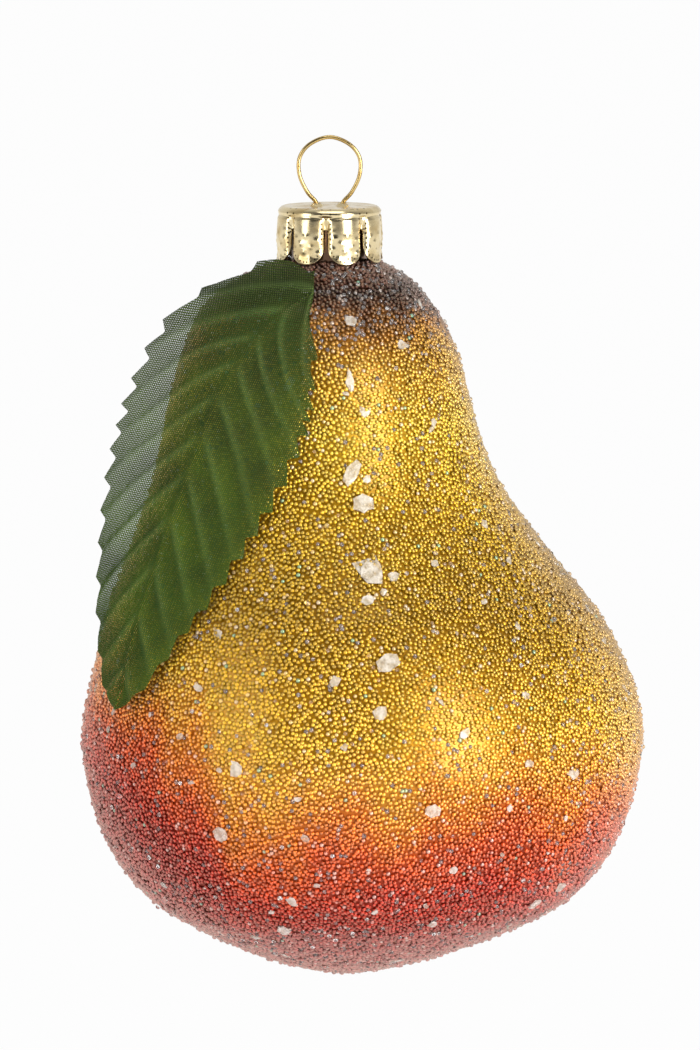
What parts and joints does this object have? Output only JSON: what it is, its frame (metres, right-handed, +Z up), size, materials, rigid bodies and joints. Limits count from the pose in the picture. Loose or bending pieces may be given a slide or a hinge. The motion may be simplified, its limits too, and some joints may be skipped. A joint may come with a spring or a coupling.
{
  "type": "glass pear ornament",
  "caption": "Hanging blown-glass pear covered in glass beads, with a stamped crown cap, a spring wire loop and a pressed fabric leaf.",
  "frame": {"origin": "hook point: the inner top of the hanger's wire loop, where a hook carries it", "axes": "+Z up, along the cap's axis; -Y towards the viewer; the leaf lies to -X"},
  "size_m": [0.0827, 0.0826, 0.1244],
  "materials": {
    "silvered_glass": "blown glass, silvered inside and lacquered gold",
    "bead_crust": "clear glass beads glued over shaded lacquer, plum at the top, gold and olive in the middle, orange to rose below",
    "stamped_cap": "pale gold plated, bright",
    "spring_wire": "pale gold plated, bright",
    "leaf_fabric": "stiffened woven fabric, pressed",
    "clear_glue": "cured clear adhesive",
    "shell_chip": "pearly, translucent"
  },
  "bodies": {
    "hanger": {"hanger_wire": "spring_wire"},
    "cap_body": {"cap": "stamped_cap"},
    "pear": {"glass_pear": "silvered_glass", "bead_crust": "bead_crust", "leaf_glue": "clear_glue", "shell_chip_01": "shell_chip", "shell_chip_02": "shell_chip", "shell_chip_03": "shell_chip", "shell_chip_04": "shell_chip", "shell_chip_05": "shell_chip", "shell_chip_06": "shell_chip", "shell_chip_07": "shell_chip", "shell_chip_08": "shell_chip", "shell_chip_09": "shell_chip", "shell_chip_10": "shell_chip", "shell_chip_11": "shell_chip", "shell_chip_12": "shell_chip"},
    "leaf_body": {"leaf": "leaf_fabric"}
  },
  "joints": [
    {"name": "cap_slide", "type": "slide", "parent": "hanger", "child": "cap_body", "axis": [0, 0, -1], "range_m": [0, 0.003]},
    {"name": "pull_off", "type": "slide", "parent": "cap_body", "child": "pear", "axis": [0, 0, -1], "range_m": [0, 0.024]},
    {"name": "leaf_flex", "type": "hinge", "parent": "pear", "child": "leaf_body", "pos_m": [-0.004, -0.0095, -0.0182], "axis": [-0.9063, 0.4226, 0], "range_deg": [0, 30], "stiffness_Nm_per_rad": 0.0004}
  ]
}
